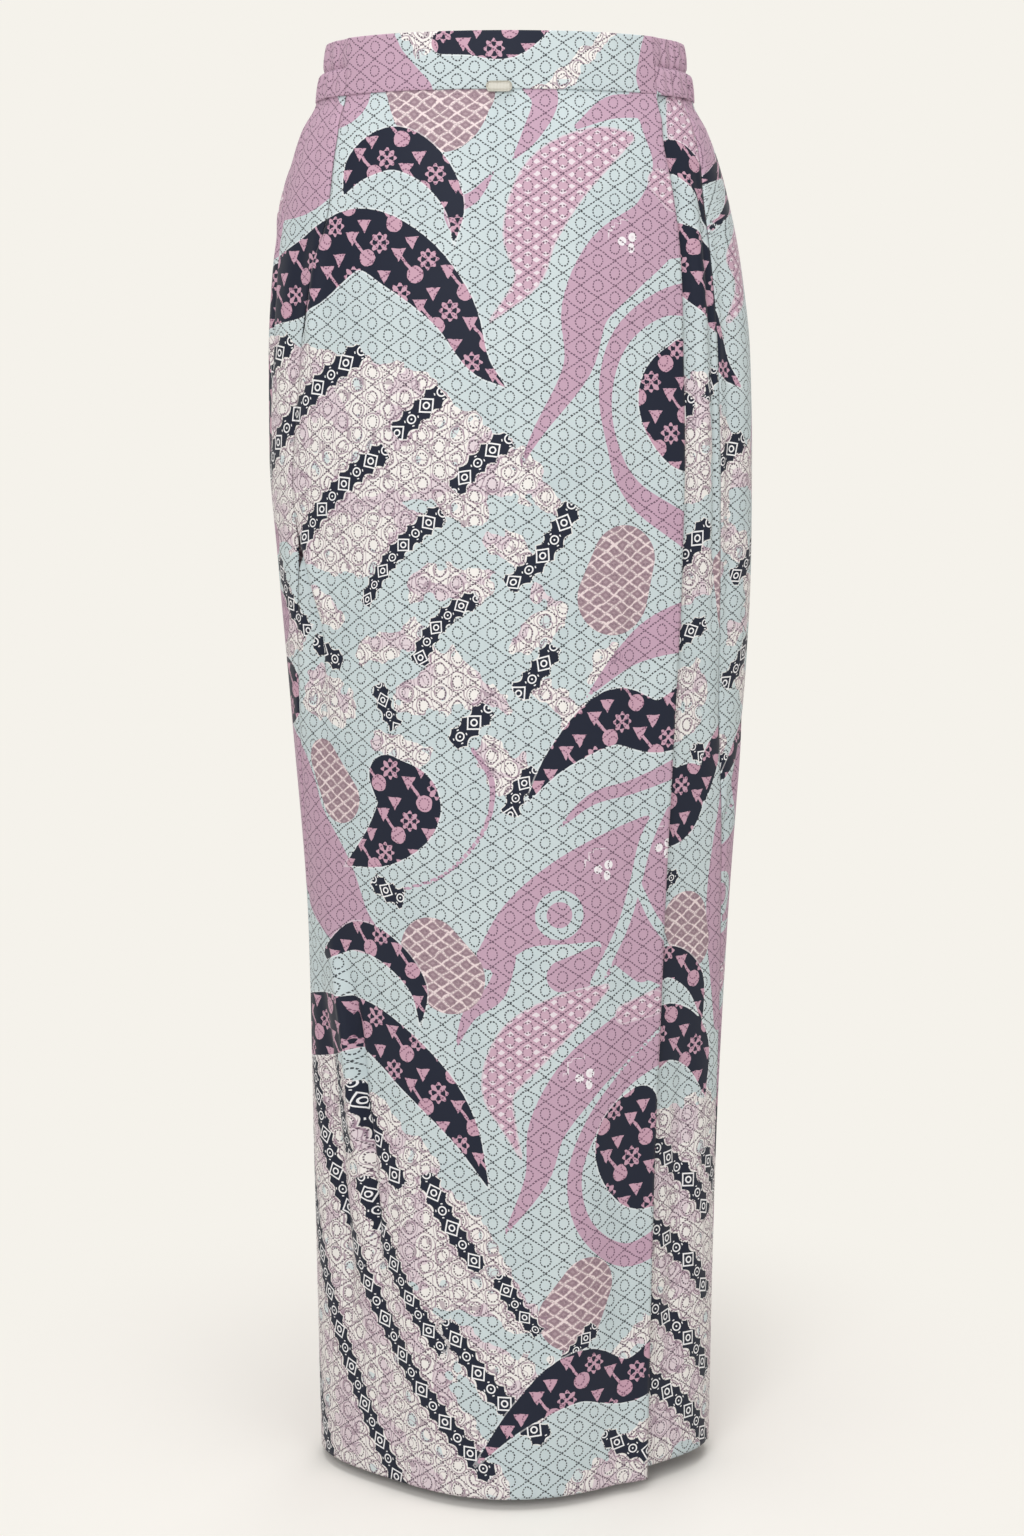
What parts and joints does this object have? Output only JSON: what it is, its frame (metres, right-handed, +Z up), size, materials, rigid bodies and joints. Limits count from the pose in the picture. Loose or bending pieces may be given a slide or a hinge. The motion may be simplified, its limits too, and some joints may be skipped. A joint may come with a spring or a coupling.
{
  "type": "wrap-front batik sarong skirt with elasticated waistband",
  "caption": "Ankle-length batik sarong skirt, filled out as worn: wrap front, flat waistband in front, elastic round the sides and back",
  "frame": {"origin": "middle of the waist opening, at half the waistband's height, where a wearer's waist holds the skirt", "axes": "+Z up; -Y is the front; +X is the side on the right as one faces the skirt, which is the wrap's free-edge side"},
  "size_m": [0.345, 0.232, 1.002],
  "materials": {
    "batik_cloth": "printed viscose, smooth, with a soft low sheen",
    "cream_tape": "plain cream cloth tape"
  },
  "bodies": {
    "root": {"front_over_panel": "batik_cloth", "front_under_panel": "batik_cloth", "back_panel": "batik_cloth", "waistband_front": "batik_cloth", "waistband_back": "batik_cloth", "waist_tab": "cream_tape"}
  },
  "joints": []
}
